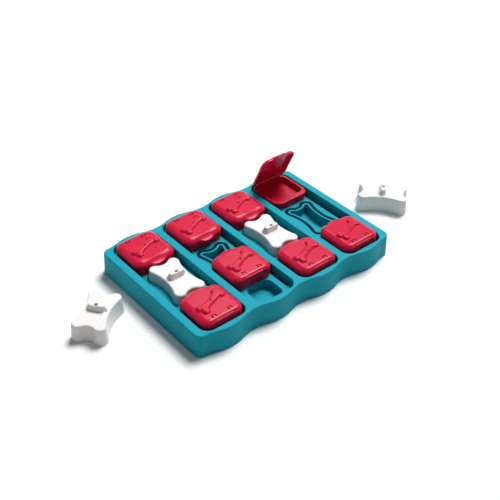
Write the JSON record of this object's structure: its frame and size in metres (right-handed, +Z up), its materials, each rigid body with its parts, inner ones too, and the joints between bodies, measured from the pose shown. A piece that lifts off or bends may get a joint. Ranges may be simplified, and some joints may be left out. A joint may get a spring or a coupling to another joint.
{
  "type": "dog puzzle feeder toy",
  "caption": "Wavy-sided plastic tray with parallel lanes of treat pockets, covered by sliding boxes with flip lids and lift-off bone-shaped covers",
  "frame": {"origin": "on the floor under the middle of the tray, at the centre of the middle foot's face", "axes": "+X along the tray's long side, across the lanes; +Y along the lanes to the back; +Z up"},
  "size_m": [0.5362, 0.2232, 0.0905],
  "materials": {
    "teal_plastic": "satin moulded",
    "red_plastic": "gloss moulded",
    "lid_plastic": "gloss moulded",
    "white_plastic": "satin moulded",
    "foot_rubber": "matte"
  },
  "bodies": {
    "tray_body": {"tray": "teal_plastic", "centre_boss": "teal_plastic", "lane_wall_1": "teal_plastic", "lane_floor_1": "teal_plastic", "bone_seat_1": "teal_plastic", "middle_cup_1": "teal_plastic", "pocket_cup_front_1": "teal_plastic", "pocket_cup_back_1": "teal_plastic", "lane_wall_2": "teal_plastic", "lane_floor_2": "teal_plastic", "bone_seat_2": "teal_plastic", "middle_cup_2": "teal_plastic", "pocket_cup_front_2": "teal_plastic", "pocket_cup_back_2": "teal_plastic", "lane_wall_3": "teal_plastic", "lane_floor_3": "teal_plastic", "bone_seat_3": "teal_plastic", "middle_cup_3": "teal_plastic", "pocket_cup_front_3": "teal_plastic", "pocket_cup_back_3": "teal_plastic", "lane_wall_4": "teal_plastic", "lane_floor_4": "teal_plastic", "bone_seat_4": "teal_plastic", "middle_cup_4": "teal_plastic", "pocket_cup_front_4": "teal_plastic", "pocket_cup_back_4": "teal_plastic", "foot_1": "foot_rubber", "foot_2": "foot_rubber", "foot_3": "foot_rubber", "foot_4": "foot_rubber", "foot_5": "foot_rubber"},
    "box_front_1": {"slide_box_front_1": "red_plastic"},
    "lid_front_1": {"flip_lid_front_1": "lid_plastic"},
    "box_back_1": {"slide_box_back_1": "red_plastic"},
    "lid_back_1": {"flip_lid_back_1": "lid_plastic"},
    "box_front_2": {"slide_box_front_2": "red_plastic"},
    "lid_front_2": {"flip_lid_front_2": "lid_plastic"},
    "box_back_2": {"slide_box_back_2": "red_plastic"},
    "lid_back_2": {"flip_lid_back_2": "lid_plastic"},
    "box_front_3": {"slide_box_front_3": "red_plastic"},
    "lid_front_3": {"flip_lid_front_3": "lid_plastic"},
    "box_back_3": {"slide_box_back_3": "red_plastic"},
    "lid_back_3": {"flip_lid_back_3": "lid_plastic"},
    "box_front_4": {"slide_box_front_4": "red_plastic"},
    "lid_front_4": {"flip_lid_front_4": "lid_plastic"},
    "box_back_4": {"slide_box_back_4": "red_plastic"},
    "lid_back_4": {"flip_lid_back_4": "lid_plastic"},
    "bone_lane_1_body": {"bone_lane_1": "white_plastic"},
    "bone_lane_3_body": {"bone_lane_3": "white_plastic"},
    "bone_loose_left_body": {"bone_loose_left": "white_plastic"},
    "bone_loose_right_body": {"bone_loose_right": "white_plastic"}
  },
  "joints": [
    {"name": "slide_front_1", "type": "slide", "parent": "tray_body", "child": "box_front_1", "axis": [0, 1, 0], "range_m": [-0.0028, 0.0008]},
    {"name": "lid_front_1", "type": "hinge", "parent": "box_front_1", "child": "lid_front_1", "pos_m": [-0.1164, -0.0957, 0.0357], "axis": [1, 0, 0], "range_deg": [0, 100]},
    {"name": "slide_back_1", "type": "slide", "parent": "tray_body", "child": "box_back_1", "axis": [0, 1, 0], "range_m": [-0.0008, 0.0028]},
    {"name": "lid_back_1", "type": "hinge", "parent": "box_back_1", "child": "lid_back_1", "pos_m": [-0.1164, 0.0957, 0.0357], "axis": [-1, 0, 0], "range_deg": [0, 100]},
    {"name": "slide_front_2", "type": "slide", "parent": "tray_body", "child": "box_front_2", "axis": [0, 1, 0], "range_m": [-0.0408, 0.031]},
    {"name": "lid_front_2", "type": "hinge", "parent": "box_front_2", "child": "lid_front_2", "pos_m": [-0.0388, -0.0577, 0.0357], "axis": [1, 0, 0], "range_deg": [0, 100]},
    {"name": "slide_back_2", "type": "slide", "parent": "tray_body", "child": "box_back_2", "axis": [0, 1, 0], "range_m": [-0.031, 0.0028]},
    {"name": "lid_back_2", "type": "hinge", "parent": "box_back_2", "child": "lid_back_2", "pos_m": [-0.0388, 0.0957, 0.0357], "axis": [-1, 0, 0], "range_deg": [0, 100]},
    {"name": "slide_front_3", "type": "slide", "parent": "tray_body", "child": "box_front_3", "axis": [0, 1, 0], "range_m": [-0.0028, 0.0008]},
    {"name": "lid_front_3", "type": "hinge", "parent": "box_front_3", "child": "lid_front_3", "pos_m": [0.0388, -0.0957, 0.0357], "axis": [1, 0, 0], "range_deg": [0, 100]},
    {"name": "slide_back_3", "type": "slide", "parent": "tray_body", "child": "box_back_3", "axis": [0, 1, 0], "range_m": [-0.0008, 0.0028]},
    {"name": "lid_back_3", "type": "hinge", "parent": "box_back_3", "child": "lid_back_3", "pos_m": [0.0388, 0.0957, 0.0357], "axis": [-1, 0, 0], "range_deg": [0, 100]},
    {"name": "slide_front_4", "type": "slide", "parent": "tray_body", "child": "box_front_4", "axis": [0, 1, 0], "range_m": [-0.0028, 0.069]},
    {"name": "lid_front_4", "type": "hinge", "parent": "box_front_4", "child": "lid_front_4", "pos_m": [0.1164, -0.0957, 0.0357], "axis": [1, 0, 0], "range_deg": [0, 100]},
    {"name": "slide_back_4", "type": "slide", "parent": "tray_body", "child": "box_back_4", "axis": [0, 1, 0], "range_m": [-0.069, 0.0028]},
    {"name": "lid_back_4", "type": "hinge", "parent": "box_back_4", "child": "lid_back_4", "pos_m": [0.1164, 0.0957, 0.0357], "axis": [-1, 0, 0], "range_deg": [-66, 34]},
    {"name": "bone_lane_1_lift", "type": "slide", "parent": "tray_body", "child": "bone_lane_1_body", "axis": [0, 0, 1], "range_m": [0, 0.06]},
    {"name": "bone_lane_3_lift", "type": "slide", "parent": "tray_body", "child": "bone_lane_3_body", "axis": [0, 0, 1], "range_m": [0, 0.06]},
    {"name": "bone_loose_left_lift", "type": "slide", "parent": "tray_body", "child": "bone_loose_left_body", "axis": [0, 0, 1], "range_m": [0, 0.06]},
    {"name": "bone_loose_right_lift", "type": "slide", "parent": "tray_body", "child": "bone_loose_right_body", "axis": [0, 0, 1], "range_m": [0, 0.06]}
  ]
}
